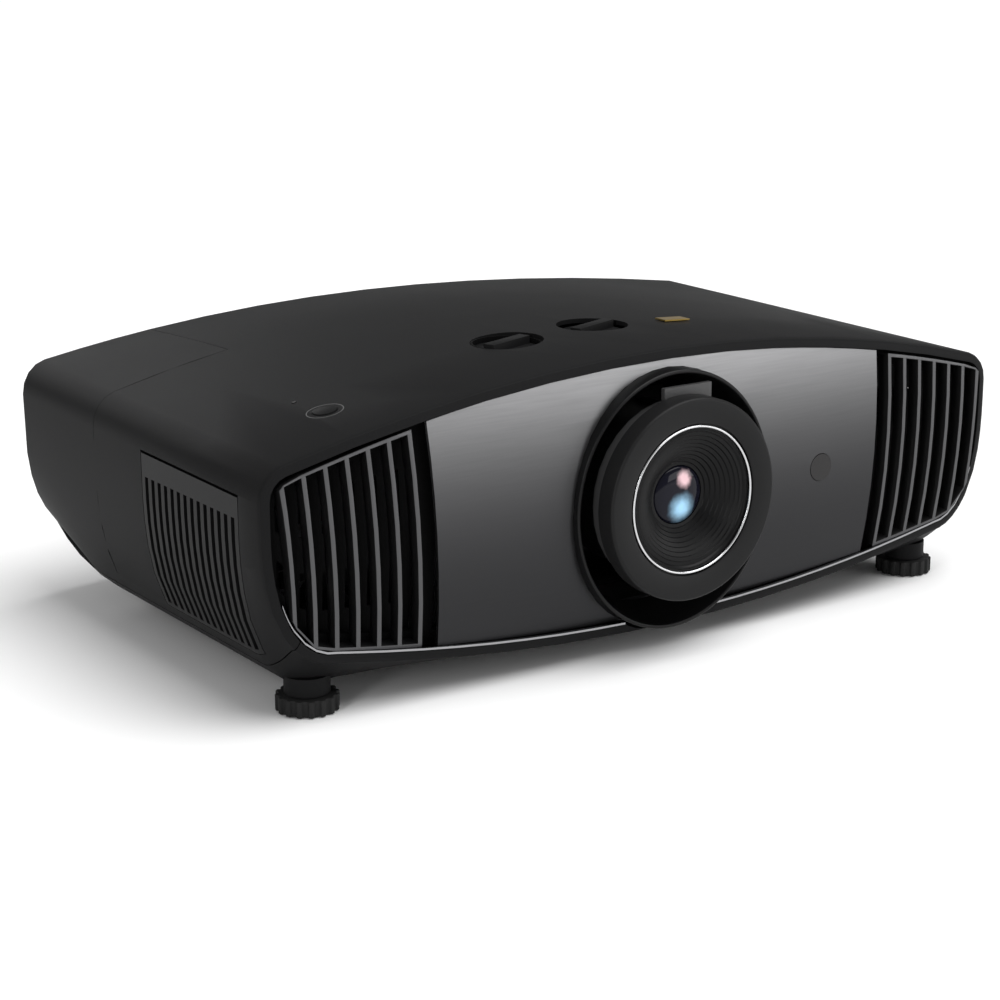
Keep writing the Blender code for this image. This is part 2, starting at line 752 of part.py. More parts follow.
def build_lens():
    wide, narrow, bore = BARREL_RADIUS - 0.002, 0.036, 0.024
    barrel_back = CROSS_Y - GAP
    barrel_front = LENS_FRONT_Y + 0.0027
    length = barrel_back - barrel_front
    step = 0.024
    mouth = TRIM_RADIUS - 0.0015
    lens_ring("lens_barrel", [(wide, length), (wide, step), (narrow, step), (narrow, 0.0), (bore, 0.0),
                              (bore, length - 0.024), (mouth, length - 0.020), (mouth, length)],
              barrel_back, "lens_black")

    zoom_back, zoom_front = -0.1460, -0.1552
    inner, outer = wide + GAP, FOCUS_RADIUS - 0.0035
    depth = zoom_back - zoom_front
    zoom = lens_ring("zoom_ring", [(outer, depth), (outer, 0.0), (inner, 0.0), (inner, depth)], zoom_back,
                     "lens_black")
    tab_low = LENS_Z + outer - 0.004
    combine(zoom, box("zoom_tab", (ZOOM_TAB_X - ZOOM_TAB_HALF, zoom_front + 0.0002, tab_low),
                      (ZOOM_TAB_X + ZOOM_TAB_HALF, HOOD_FRONT_Y - GAP, LENS_Z + ZOOM_TAB_RADIUS)), "UNION")

    focus_back = zoom_front - GAP
    depth = focus_back - LENS_FRONT_Y
    lip = TRIM_RADIUS + 0.0010
    chamfer = 0.0012
    lens_ring("focus_ring", [(lip, depth - 0.0010), (FOCUS_RADIUS - chamfer, depth),
                             (FOCUS_RADIUS, depth - chamfer), (FOCUS_RADIUS, 0.0), (inner, 0.0),
                             (inner, depth - 0.0024), (lip, depth - 0.0024)], focus_back, "lens_black")
    trim_back = barrel_front - GAP
    lens_ring("lens_trim_ring", [(TRIM_RADIUS + 0.0007, 0.0014), (TRIM_RADIUS + 0.0007, 0.0),
                                 (TRIM_RADIUS - 0.0013, 0.0), (TRIM_RADIUS - 0.0013, 0.0014)],
              trim_back, "silver")
    cone_out = mouth - GAP
    cone_back = barrel_front + 0.0185
    deep = cone_back - barrel_front
    lens_ring("lens_baffle", [(cone_out, deep), (cone_out, 0.0), (GLASS_RADIUS - 0.002, 0.0),
                              (GLASS_RADIUS - 0.002, 0.002), (GLASS_RADIUS + GAP, 0.002),
                              (GLASS_RADIUS + GAP, deep - 0.0115), (0.0185, deep - 0.0110),
                              (0.0190, deep - 0.0080), (0.0225, deep - 0.0075), (0.0230, deep - 0.0045),
                              (0.0275, deep - 0.0040), (0.0285, deep - 0.0015), (0.0365, deep - 0.0002)],
              cone_back, "lens_black")
    dome = [(GLASS_RADIUS * math.sin(a), 0.0035 + 0.0035 * math.cos(a)) for a in spread(0.0, math.pi / 2, 6)]
    turned("front_glass", [(0.0, dome[0][1])] + dome[1:] + [(GLASS_RADIUS, 0.0), (0.0, 0.0)],
           (0.0, cone_back - 0.002 - GAP, LENS_Z), "glass")

    back, front = 0.0, HOOD_DEPTH
    turned("lens_hood", [(HOOD_HALF_WIDTH - 0.0015, front), (HOOD_HALF_WIDTH, front - 0.0012),
                         (HOOD_HALF_WIDTH, back), (HOOD_HALF_WIDTH - 0.008, back),
                         (HOOD_HALF_WIDTH - 0.006, back + 0.010), (HOOD_HALF_WIDTH - 0.0025, front - 0.0005)],
           (0.0, HOOD_FRONT_Y + HOOD_DEPTH, HOOD_Z), "lens_black", steps=40,
           stretch=HOOD_HALF_HEIGHT / HOOD_HALF_WIDTH)


def build_shift():
    floor = UNDERSIDE + WALL + GAP + CHASSIS_THICK + GAP
    half, thick = MOUNT_HALF, MOUNT_FOOT_THICK
    frame = box("lens_mount_frame", (-half, MOUNT_Y, floor), (half, MOUNT_Y + MOUNT_THICK, MOUNT_TOP), "steel")
    combine(frame, box("mount_top", (-half, MOUNT_FRONT, MOUNT_TOP - MOUNT_ROOF), (half, MOUNT_Y + 0.001, MOUNT_TOP)),
            "UNION")
    combine(frame, box("mount_foot", (-half, MOUNT_FRONT, floor), (half, MOUNT_FOOT_BACK, floor + thick)), "UNION")
    combine(frame, lens_rod("mount_bore", LIGHT_BORE, MOUNT_Y - 0.002, MOUNT_Y + 0.008))
    for x, y in (LIFT_DIAL, CROSS_DIAL):
        combine(frame, rod("shaft_hole", (x, y, 0.14), (x, y, 0.16), SCREW_RADIUS + GAP, steps=20))

    rod_y = LIFT_Y + LIFT_THICK / 2
    for side, name in ((-1, "left_lift_rod"), (1, "right_lift_rod")):
        x = side * LIFT_ROD_X
        rod(name, (x, rod_y, floor + thick + GAP), (x, rod_y, MOUNT_TOP - MOUNT_ROOF - GAP), ROD_RADIUS, "steel", 16)
    wide, tall = LIFT_PLATE_HALF
    plate = box("lift_plate", (-wide, LIFT_Y, LENS_Z - tall), (wide, LIFT_Y + LIFT_THICK, LENS_Z + tall), "steel")
    for z in (LENS_Z - CROSS_ROD_RISE, LENS_Z + CROSS_ROD_RISE):
        for side in (-1, 1):
            low, high = sorted((side * ROD_EAR_IN, side * ROD_EAR_OUT))
            combine(plate, box("rod_ear", (low, CROSS_Y - 0.001, z - ROD_EAR_HALF),
                               (high, LIFT_Y + 0.001, z + ROD_EAR_HALF)), "UNION")
    x, y = LIFT_DIAL
    combine(plate, box("nut", (x - NUT_HALF, y - NUT_HALF, LENS_Z - NUT_RISE),
                       (x + 0.75 * NUT_HALF, LIFT_Y + 0.001, LENS_Z + NUT_RISE)), "UNION")
    combine(plate, lens_rod("lift_bore", LIGHT_BORE, LIFT_Y - 0.002, LIFT_Y + 0.012))
    for side in (-1, 1):
        spot = side * LIFT_ROD_X
        combine(plate, rod("rod_hole", (spot, rod_y, 0.02), (spot, rod_y, 0.16), ROD_RADIUS + ROD_CLEARANCE,
                           steps=16))
    combine(plate, rod("nut_hole", (x, y, 0.06), (x, y, 0.12), SCREW_RADIUS + GAP, steps=20))

    cross_mid = CROSS_Y + CROSS_THICK / 2
    wide, tall = CROSS_PLATE_HALF
    cross = box("cross_plate", (-wide, CROSS_Y, LENS_Z - tall), (wide, CROSS_Y + CROSS_THICK, LENS_Z + tall),
                "steel")
    combine(cross, lens_rod("cross_bore", REAR_BARREL_RADIUS, CROSS_Y - 0.002, CROSS_Y + 0.012))
    for z, name in ((LENS_Z - CROSS_ROD_RISE, "lower_cross_rod"), (LENS_Z + CROSS_ROD_RISE, "upper_cross_rod")):
        combine(cross, rod("cross_rod_hole", (-0.06, cross_mid, z), (0.06, cross_mid, z),
                           ROD_RADIUS + ROD_CLEARANCE, steps=16))
        rod(name, (GAP - ROD_EAR_IN, cross_mid, z), (ROD_EAR_IN - GAP, cross_mid, z), ROD_RADIUS, "steel", 16)

    pitch_radius = PINION_TEETH * PINION_MODULE / 2
    x, y = CROSS_DIAL
    root, tip = TOOTH_SHARE + TOOTH_FLARE, TOOTH_SHARE - TOOTH_FLARE
    gear = toothed(PINION_TEETH, pitch_radius - TOOTH_ROOT, pitch_radius + TOOTH_TIP, root, tip, (x, y))
    pinion = extruded("cross_pinion", gear, RACK_Z - PINION_HALF, RACK_Z + PINION_HALF, "brass")
    rack_y = CROSS_Y + CROSS_THICK + GAP
    line = y - pitch_radius
    pitch = math.pi * PINION_MODULE
    ends = RACK_TEETH / 2 * pitch
    points = [(x - ends, rack_y)]
    for i in range(RACK_TEETH):
        middle = x + (i - (RACK_TEETH - 1) / 2) * pitch
        for reach, share in ((-TOOTH_ROOT, -root), (TOOTH_TIP, -tip), (TOOTH_TIP, tip), (-TOOTH_ROOT, root)):
            points.append((middle + share * pitch / 2, line + reach))
    points.append((x + ends, rack_y))
    extruded("shift_rack", points, RACK_Z - RACK_HALF, RACK_Z + RACK_HALF, "brass")

    wells = []
    for name, (x, y), shaft_low in (("lift", LIFT_DIAL, floor + thick + GAP), ("cross", CROSS_DIAL, None)):
        rim = top_at(x, y) - WELL_SINK
        bottom = rim - WELL_DEPTH
        well = DIAL_RADIUS + WELL_WALL + GAP
        play = SCREW_RADIUS + 2 * GAP
        finish = None if wells else "inner_black"
        wells.append(turned("dial_wells", [(well, rim), (well, bottom - WELL_WALL), (play, bottom - WELL_WALL),
                                           (play, bottom), (well - WELL_WALL, bottom),
                                           (well - WELL_WALL, rim)], (x, y, 0.0), finish, forward=False))
        low = bottom + GAP
        dial = rod(name + "_dial", (x, y, low), (x, y, low + DIAL_THICK), DIAL_RADIUS, "casing", 32)
        reach = DIAL_RADIUS - GRIP_INSET
        grip = box("dial_grip", (-reach, -GRIP_HALF, 0.0), (reach, GRIP_HALF, GRIP_RISE))
        grip.matrix_world = (Matrix.Translation((x, y, low + DIAL_THICK - 0.0005))
                             @ Matrix.Rotation(math.radians(GRIP_ANGLE), 4, "Z"))
        combine(dial, grip, "UNION")
        if name == "lift":
            rod("lift_screw", (x, y, shaft_low), (x, y, low - GAP), SCREW_RADIUS, "steel", 16)
        else:
            combine(pinion, rod("pinion_shaft", (x, y, RACK_Z), (x, y, low - GAP), SCREW_RADIUS, steps=16),
                    "UNION")


def fan(name, x, low_z_value, finish):
    """A square frame on a foot, with a motor boss on cross struts, and its bladed rotor."""
    half, back, front = FAN_HALF, FAN_BACK, FAN_FRONT
    middle = low_z_value + half
    frame = box(name + "_frame", (x - half, front, middle - half), (x + half, back, middle + half), finish)
    combine(frame, rod("fan_bore", (x, front - 0.001, middle), (x, back + 0.001, middle), half - FAN_WALL,
                       steps=28))
    for reach, rise in ((half - 0.001, 0.0025), (0.0025, half - 0.001)):
        combine(frame, box("strut", (x - reach, back - 0.003, middle - rise), (x + reach, back, middle + rise)),
                "UNION")
    combine(frame, rod("motor_boss", (x, back - 0.006, middle), (x, back, middle), FAN_BOSS, steps=24), "UNION")
    inner = -1 if x > 0 else 1
    stand = sorted((x + inner * 0.034, x + inner * 0.008))
    combine(frame, box("stand", (stand[0], back - 0.0065, floor_top()), (stand[1], back - 0.0005,
                                                                        middle - half + 0.001)), "UNION")
    blades = [(x + px, middle + pz) for px, pz in toothed(FAN_BLADES, FAN_HUB, half - FAN_WALL - 0.002, 0.36, 0.20)]
    rotor = extruded(name + "_rotor", blades, front + 0.002, back - 0.006 - GAP, finish, plane="XZ")
    return rotor


def floor_top():
    return UNDERSIDE + WALL + GAP + CHASSIS_THICK + GAP


def build_inside():
    floor = floor_top()
    box("chassis_plate", (-CHASSIS_HALF, CHASSIS_FRONT, UNDERSIDE + WALL + GAP),
        (CHASSIS_HALF, CHASSIS_BACK, floor - GAP), "steel")
    engine = box("optics_housing", (ENGINE_LEFT, ENGINE_FRONT, floor), (ENGINE_RIGHT, ENGINE_BACK, ENGINE_TOP),
                 "cast", 0.002)
    combine(engine, lens_rod("snout", LIGHT_BORE - 0.004, ENGINE_FRONT + 0.009, MOUNT_Y + MOUNT_THICK + GAP), "UNION")
    wheel_y, wheel_z = WHEEL_Y, WHEEL_Z
    motor = rod("wheel_motor", (-0.1157, wheel_y, wheel_z), (-0.100, wheel_y, wheel_z), 0.009, "cast", 24)
    combine(motor, box("motor_arm", (-0.1005, wheel_y - 0.006, wheel_z - 0.006),
                       (ENGINE_LEFT - GAP, wheel_y + 0.006, wheel_z + 0.006)), "UNION")
    wheel = rod("colour_wheel", (-0.1185, wheel_y, wheel_z), (-0.1173, wheel_y, wheel_z), WHEEL_RADIUS, "glass", 32)
    combine(wheel, rod("wheel_hub", (-0.1180, wheel_y, wheel_z), (-0.1157 - GAP, wheel_y, wheel_z), 0.007,
                       steps=24), "UNION")
    lamp = box("lamp_housing", (LAMP_LEFT, LAMP_FRONT, floor), (LAMP_RIGHT, LAMP_BACK, LAMP_TOP), "cast", 0.002)
    combine(lamp, rod("lamp_mouth", (-0.175, LAMP_Y, wheel_z), (LAMP_RIGHT + 0.008, LAMP_Y, wheel_z), LAMP_MOUTH, steps=36))
    teeth = [(ENGINE_RIGHT + GAP, SINK_FRONT), (ENGINE_RIGHT + GAP, SINK_BACK)]
    pitch = (SINK_BACK - SINK_FRONT - SINK_VANE) / (SINK_VANES - 1)
    for i in range(SINK_VANES):
        y = SINK_BACK - i * pitch
        teeth += [(SINK_TIP, y), (SINK_TIP, y - SINK_VANE), (SINK_ROOT, y - SINK_VANE), (SINK_ROOT, y - pitch)]
    extruded("chip_heatsink", teeth[:-2], SINK_LOW, SINK_TOP, "silver")
    fan("intake_fan", -FAN_X, FAN_LOW, "inner_black")
    fan("exhaust_fan", FAN_X, FAN_LOW, "inner_black")
    board = box("power_board", (0.110, -0.060, floor + 0.006), (0.190, 0.055, floor + 0.006 + BOARD_THICK), "board")
    for x in (0.116, 0.184):
        for y in (-0.054, 0.049):
            combine(board, rod("post", (x, y, floor), (x, y, floor + 0.0065), 0.003, steps=12), "UNION")
    deck = floor + 0.0070
    combine(board, box("transformer", (0.120, -0.045, deck), (0.152, -0.012, deck + 0.030)), "UNION")
    combine(board, rod("capacitor", (0.168, 0.010, deck), (0.168, 0.010, deck + 0.035), 0.011), "UNION")

    main = box("main_board", (-0.060, BOARD_Y, BOARD_LOW), (0.095, BOARD_Y + BOARD_THICK, BOARD_TOP), "board")
    combine(main, box("bracket", (-0.030, ENGINE_BACK + GAP, 0.060), (0.030, BOARD_Y + 0.0005, 0.064)), "UNION")
    front = BOARD_Y + BOARD_THICK + GAP
    width, height, depth = SOCKET_POCKET
    last = SOCKET_X + (SOCKET_COUNT - 1) * SOCKET_PITCH
    sockets = box("video_sockets", (SOCKET_X - SOCKET_HALF, front, SOCKET_Z - 0.010),
                  (last + SOCKET_HALF, front + 0.004, SOCKET_Z + 0.010), "steel")
    for i in range(SOCKET_COUNT):
        x = SOCKET_X + i * SOCKET_PITCH
        face = rear_y(x) - REAR_RECESS
        combine(sockets, box("socket", (x - SOCKET_HALF, front + 0.001, SOCKET_Z - SOCKET_HEIGHT / 2),
                             (x + SOCKET_HALF, face, SOCKET_Z + SOCKET_HEIGHT / 2)), "UNION")
        combine(sockets, box("pocket", (x - width / 2, face - depth, SOCKET_Z - height / 2),
                             (x + width / 2, face + 0.01, SOCKET_Z + height / 2)))
    face = rear_y(INLET_X) - REAR_RECESS + 0.0005
    inlet = box("mains_inlet", (INLET_X - INLET_HALF, face - 0.024, INLET_Z - INLET_RISE),
                (INLET_X + INLET_HALF, face, INLET_Z + INLET_RISE), "inner_black")
    wall = 0.002
    combine(inlet, box("inlet_pocket", (INLET_X - INLET_HALF + wall, face - INLET_POCKET_DEPTH,
                                        INLET_Z - INLET_RISE + wall),
                       (INLET_X + INLET_HALF - wall, face + 0.01, INLET_Z + INLET_RISE - wall)))
    for shift, rise in ((-0.007, -0.002), (0.0, 0.002), (0.007, -0.002)):
        combine(inlet, box("inlet_pin", (INLET_X + shift - 0.001, face - INLET_POCKET_DEPTH - 0.001,
                                         INLET_Z + rise - 0.0025),
                           (INLET_X + shift + 0.001, face - 0.007, INLET_Z + rise + 0.0025)), "UNION")
    for i, x in enumerate(KEY_X):
        face = rear_y(x) - REAR_RECESS
        rod("menu_key_%d" % (i + 1), (x, face - KEY_LENGTH + 0.0015, KEY_Z), (x, face + 0.0015, KEY_Z),
            KEY_RADIUS, "inner_black", 24)


def build_outside():
    top_rod("power_button", POWER_BUTTON, 0.0055, 0.0005, BUTTON_RADIUS, "casing")
    top_rod("indicator_light", INDICATOR, 0.0040, 0.0001, INDICATOR_RADIUS, "window", 16)

    def badge_point(x, y):
        return Vector((x, y, top_at(x, y) + GAP + BADGE_THICK))
    low_x, high_x, low_y, high_y = BADGE
    surface("gold_badge", spread(low_x, high_x, 2), spread(low_y, high_y, 2), badge_point, BADGE_THICK, "gold")

    for side in (-1, 1):
        name = "left" if side < 0 else "right"
        x = side * FOOT_X
        ribbed = [(x + px, FOOT_Y + py) for px, py in
                  toothed(16, FOOT_RADIUS - 0.0015, FOOT_RADIUS, 0.60, 0.40)]
        extruded(name + "_foot_pad", ribbed, 0.0, FOOT_THICK, "rubber")
        rod(name + "_foot_stem", (x, FOOT_Y, FOOT_THICK + GAP), (x, FOOT_Y, 0.032), FOOT_STEM, "steel", 20)
        x = side * REAR_FOOT_X
        rod(name + "_rear_foot", (x, REAR_FOOT_Y, 0.0), (x, REAR_FOOT_Y, UNDERSIDE - GAP), REAR_FOOT_RADIUS,
            "rubber", 24)


def build():
    clear_scene()
    for name, colour, roughness, metallic in FINISHES:
        make_material(name, colour, roughness, metallic)
    build_casing()
    for side in (-1, 1):
        build_side_grille(side)
    build_front()
    build_lens()
    build_shift()
    build_inside()
    build_outside()


build()
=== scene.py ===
import math

import bmesh
import bpy
from mathutils import Matrix, Vector
from mathutils.bvhtree import BVHTree


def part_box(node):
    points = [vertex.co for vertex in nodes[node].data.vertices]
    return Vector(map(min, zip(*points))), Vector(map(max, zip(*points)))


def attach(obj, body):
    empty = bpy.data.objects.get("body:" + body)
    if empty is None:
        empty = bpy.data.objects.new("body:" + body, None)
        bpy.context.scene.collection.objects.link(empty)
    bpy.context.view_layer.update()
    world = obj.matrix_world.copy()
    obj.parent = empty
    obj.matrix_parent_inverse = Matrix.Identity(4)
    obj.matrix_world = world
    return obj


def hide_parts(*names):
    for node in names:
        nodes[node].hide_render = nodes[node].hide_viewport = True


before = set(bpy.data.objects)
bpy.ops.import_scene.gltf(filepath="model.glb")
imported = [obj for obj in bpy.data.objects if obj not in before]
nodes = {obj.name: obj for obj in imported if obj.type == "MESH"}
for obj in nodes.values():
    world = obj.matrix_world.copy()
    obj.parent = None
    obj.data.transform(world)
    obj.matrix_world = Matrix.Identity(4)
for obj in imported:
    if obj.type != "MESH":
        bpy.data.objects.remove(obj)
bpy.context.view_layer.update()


# ---------------------------------------------------------------------------
# Camera: an ordinary product shot from above the viewer's left, on a long lens, with the subject
# framed a little below the middle of the lens axis.
# ---------------------------------------------------------------------------
azimuth, elevation, distance = math.radians(-35.1), math.radians(14.656), 1.3483
target = Vector((0.0, 0.0, 0.067))
back = Vector((math.sin(azimuth) * math.cos(elevation), -math.cos(azimuth) * math.cos(elevation),
               math.sin(elevation)))
camera = bpy.data.objects.new("camera", bpy.data.cameras.new("camera"))
bpy.context.scene.collection.objects.link(camera)
camera.location = target + back * distance
camera.rotation_euler = back.to_track_quat("Z", "Y").to_euler()
camera.data.sensor_width = 36.0
camera.data.lens = 82.04
camera.data.shift_x = -0.014
camera.data.shift_y = -0.0265
bpy.context.scene.camera = camera


# ---------------------------------------------------------------------------
# Sweep and lights: a white studio floor under a broad, even overhead light, a tall bank to the
# front right that grades the metal panel, and smaller banks that draw soft edges on black plastic.
# ---------------------------------------------------------------------------
bpy.context.scene.view_settings.view_transform = "Standard"
sweep_mesh = bmesh.new()
bmesh.ops.create_grid(sweep_mesh, x_segments=1, y_segments=1, size=40.0)
bmesh.ops.translate(sweep_mesh, vec=(0.0, 0.0, -0.0005), verts=sweep_mesh.verts)
sweep = bpy.data.objects.new("studio_floor", bpy.data.meshes.new("studio_floor"))
sweep_mesh.to_mesh(sweep.data)
sweep_mesh.free()
bpy.context.scene.collection.objects.link(sweep)
paper = bpy.data.materials.new("studio_paper")
paper.use_nodes = True
for socket, value in (("Base Color", (0.92, 0.92, 0.92, 1.0)), ("Roughness", 0.9), ("Specular IOR Level", 0.1)):
    paper.node_tree.nodes["Principled BSDF"].inputs[socket].default_value = value
sweep.data.materials.append(paper)

surround = bpy.data.worlds.new("dim_surround")
surround.use_nodes = True
surround.node_tree.nodes["Background"].inputs["Color"].default_value = (1.0, 1.0, 1.0, 1.0)
surround.node_tree.nodes["Background"].inputs["Strength"].default_value = 0.30
bpy.context.scene.world = surround

overhead = bpy.data.lights.new("overhead_light", "SUN")
overhead.energy = 3.0
overhead.angle = math.radians(60.0)
overhead_lamp = bpy.data.objects.new("overhead_light", overhead)
overhead_lamp.rotation_euler = Vector((0.35, -0.30, 1.0)).to_track_quat("Z", "Y").to_euler()
bpy.context.scene.collection.objects.link(overhead_lamp)


def bank(name, place, aim, width, height, power):
    light = bpy.data.lights.new(name, "AREA")
    light.shape = "RECTANGLE"
    light.size, light.size_y = width, height
    light.energy = power
    lamp = bpy.data.objects.new(name, light)
    lamp.location = place
    lamp.rotation_euler = (Vector(place) - Vector(aim)).to_track_quat("Z", "Y").to_euler()
    bpy.context.scene.collection.objects.link(lamp)


bank("front_right_bank", (1.35, -1.60, 0.42), (0.0, -0.1, 0.10), 1.8, 0.55, 9.0)
bank("left_strip", (-1.7, -0.9, 0.8), (0.0, 0.0, 0.1), 0.25, 1.0, 9.0)
bank("rear_bank", (-0.3, 1.8, 0.9), (0.0, 0.0, 0.1), 1.8, 0.35, 6.0)


# ---------------------------------------------------------------------------
# Casing shells: top cover, bottom case, rear panel and the lamp door, injection moulded in black
# ABS with a fine spark-eroded skin. Held by screws from below; only the seams show.
# ---------------------------------------------------------------------------
class Wire:
    """The output of a shader node, usable in sums."""

    def __init__(self, finish, socket):
        self.finish, self.socket = finish, socket

    def combine(self, operation, first, second):
        return self.finish.add("ShaderNodeMath", {"operation": operation}, {0: first, 1: second})

    def __add__(self, other):
        return self.combine("ADD", self, other)

    def __sub__(self, other):
        return self.combine("SUBTRACT", self, other)

    def __rsub__(self, other):
        return self.combine("SUBTRACT", other, self)

    def __mul__(self, other):
        return self.combine("MULTIPLY", self, other)

    def __pow__(self, other):
        return self.combine("POWER", self, other)

    def __gt__(self, other):
        return self.combine("GREATER_THAN", self, other)

    def __lt__(self, other):
        return self.combine("LESS_THAN", self, other)

    __radd__ = __add__
    __rmul__ = __mul__


class Finish:
    """A Principled material; constants go on its own sockets and add() makes every other node."""

    def __init__(self, name, colour, roughness, metallic=0.0, coat=0.0, shine=0.5):
        self.material = bpy.data.materials.new(name)
        self.material.use_nodes = True
        self.tree = self.material.node_tree
        self.shader = self.tree.nodes["Principled BSDF"]
        self.set("Base Color", (*colour, 1.0))
        self.set("Roughness", roughness)
        self.set("Metallic", metallic)
        self.set("Coat Weight", coat)
        self.set("Specular IOR Level", shine)
        self.place = self.add("ShaderNodeTexCoord", {}, {}, "Object")

    def set(self, socket, value):
        if isinstance(value, Wire):
            self.tree.links.new(value.socket, self.shader.inputs[socket])
        else:
            self.shader.inputs[socket].default_value = value

    def add(self, kind, settings, inputs, output=0):
        node = self.tree.nodes.new(kind)
        for name, value in settings.items():
            setattr(node, name, value)
        for name, value in inputs.items():
            if isinstance(value, Wire):
                self.tree.links.new(value.socket, node.inputs[name])
            else:
                node.inputs[name].default_value = value
        return Wire(self, node.outputs[output])

    def noise(self, scale, detail=2.0, stretch=(1.0, 1.0, 1.0)):
        placed = self.add("ShaderNodeMapping", {}, {"Vector": self.place, "Scale": stretch})
        return self.add("ShaderNodeTexNoise", {}, {"Vector": placed, "Scale": scale, "Detail": detail})

    def axes(self):
        return [self.add("ShaderNodeSeparateXYZ", {}, {0: self.place}, axis) for axis in "XYZ"]

    def distance(self, first, second, centre):
        """How far a point is from a centre, measured along two of its coordinates."""
        return ((first - centre[0]) * (first - centre[0]) + (second - centre[1]) * (second - centre[1])) ** 0.5

    def bump(self, height, distance, strength=1.0):
        self.set("Normal", self.add("ShaderNodeBump", {}, {"Height": height, "Distance": distance,
                                                           "Strength": strength}))

    def blend(self, share, first, second):
        ends = {6: first, 7: second}
        ends = {slot: end if isinstance(end, Wire) else (*end, 1.0) for slot, end in ends.items()}
        return self.add("ShaderNodeMix", {"data_type": "RGBA"}, {0: share, **ends}, 2)

    def cover(self, *names):
        for name in names:
            slots = nodes[name].data.materials
            slots.clear()
            slots.append(self.material)


def moulded(name, dark, light, grain, roughness=0.46, shine=0.25):
    """Black plastic with spark-eroded grain of the given depth in metres and faint large-scale drift."""
    made = Finish(name, dark, roughness, shine=shine)
    drift = made.noise(9.0, 3.0)
    made.fine = made.noise(1500.0, 1.0)
    made.tone = made.blend(drift * 0.6 + made.fine * 0.4, dark, light)
    made.set("Base Color", made.tone)
    made.set("Roughness", drift * 0.08 + made.fine * 0.10 + (roughness - 0.09))
    made.bump(made.fine, grain)
    return made


def place_piece(name, mesh, finish, body, slot, *replaced):
    """Puts a finished bmesh in the scene, riding on a body in the CAD nodes' stead."""
    piece = bpy.data.objects.new(name, bpy.data.meshes.new(name))
    mesh.to_mesh(piece.data)
    mesh.free()
    piece.data.materials.append(finish.material)
    bpy.context.scene.collection.objects.link(piece)
    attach(piece, body)
    if replaced:
        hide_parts(*replaced)
    return piece


def soften(mesh, turn=32.0):
    """Smooth shading that breaks where two faces turn by more than the given degrees."""
    for face in mesh.faces:
        face.smooth = True
    for edge in mesh.edges:
        edge.smooth = len(edge.link_faces) == 2 and edge.calc_face_angle() < math.radians(turn)


def eased(node, finish, body, slot, corner=0.0, turn=32.0):
    """A CAD piece again with its doubles merged, its sharp corners eased and its curves smooth."""
    mesh = bmesh.new()
    mesh.from_mesh(nodes[node].data)
    bmesh.ops.remove_doubles(mesh, verts=mesh.verts, dist=0.00001)
    bmesh.ops.dissolve_limit(mesh, angle_limit=math.radians(0.6), verts=mesh.verts, edges=mesh.edges)
    if corner:
        sharp = [edge for edge in mesh.edges if len(edge.link_faces) == 2
                 and edge.calc_face_angle() > math.radians(turn + 12.0)]
        bmesh.ops.bevel(mesh, geom=sharp, offset=corner, offset_type="OFFSET", segments=2, profile=0.5,
                        affect="EDGES", clamp_overlap=True, material=-1)
    soften(mesh, turn)
    return place_piece(node + "_skin", mesh, finish, body, slot, node)


shell = moulded("textured_black_abs", (0.0060, 0.0060, 0.0063), (0.0120, 0.0120, 0.0124), 0.00006, 0.50, 0.06)
power_place, power_ring, line_width = (-0.1835, -0.0950), 0.0092, 0.00022
mark_place, mark_ring = (-0.184, 0.096), 0.0125
across, along, height = shell.axes()
shoulder_height = 0.12
on_top = height > shoulder_height
from_power = shell.distance(across, along, power_place)
printed = (from_power > power_ring) * (from_power < power_ring + line_width * 2) * on_top
from_mark = shell.distance(across, along, mark_place)
moulded_ring = (from_mark > mark_ring) * (from_mark < mark_ring + line_width * 3) * on_top
shell.set("Base Color", shell.blend(printed * 0.8, shell.tone, (0.16, 0.16, 0.16)))
shell.bump(shell.fine * 0.15 - moulded_ring, 0.0003)
for node in ("top_cover", "bottom_case", "rear_panel"):
    eased(node, shell, "casing", "casing")
eased("lamp_door", shell, "lamp_door", "casing")
eased("lift_dial", shell, "lift_knob", "casing", 0.0003)
eased("cross_dial", shell, "cross_knob", "casing", 0.0003)
eased("power_button", shell, "power_button", "casing", 0.0004)


# ---------------------------------------------------------------------------
# Front metal panel: one pressed aluminium sheet, finely brushed across and anodised gunmetal, with
# painted shade that darkens its colour towards its foot. It clips into the black inner frame behind the casing's
# lip.
# ---------------------------------------------------------------------------
panel_low, panel_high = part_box("front_panel")
gunmetal = Finish("brushed_gunmetal", (0.20, 0.20, 0.21), 0.34, 0.85)
brushing = gunmetal.noise(900.0, 3.0, (0.03, 1.0, 1.0))
panel_height = gunmetal.axes()[2]
rise = (panel_height - panel_low.z) * (1.0 / (panel_high.z - panel_low.z))
# Painted shade: the base colour grades from light at the top of the panel to dark at its foot.
painted_foot_shade = gunmetal.blend(rise ** 3.2, (0.026, 0.026, 0.0275), (0.27, 0.27, 0.274))
gunmetal.set("Base Color", gunmetal.blend(brushing * 0.22, painted_foot_shade, (0.040, 0.040, 0.042)))
gunmetal.set("Roughness", brushing * 0.08 + 0.32)
gunmetal.bump(brushing, 0.00001)
eased("front_panel", gunmetal, "casing", "gunmetal")


# ---------------------------------------------------------------------------
# Lower trim: a thin bright aluminium strip glued along the lower edge of the front opening,
# in two lengths that stop at the lens hood.
# ---------------------------------------------------------------------------
bright = Finish("bright_strip", (0.34, 0.34, 0.35), 0.25, 1.0)
streak = bright.noise(700.0, 2.0, (0.02, 1.0, 1.0))
bright.set("Roughness", streak * 0.14 + 0.18)
eased("left_lower_trim", bright, "casing", "bright_trim")
eased("right_lower_trim", bright, "casing", "bright_trim")


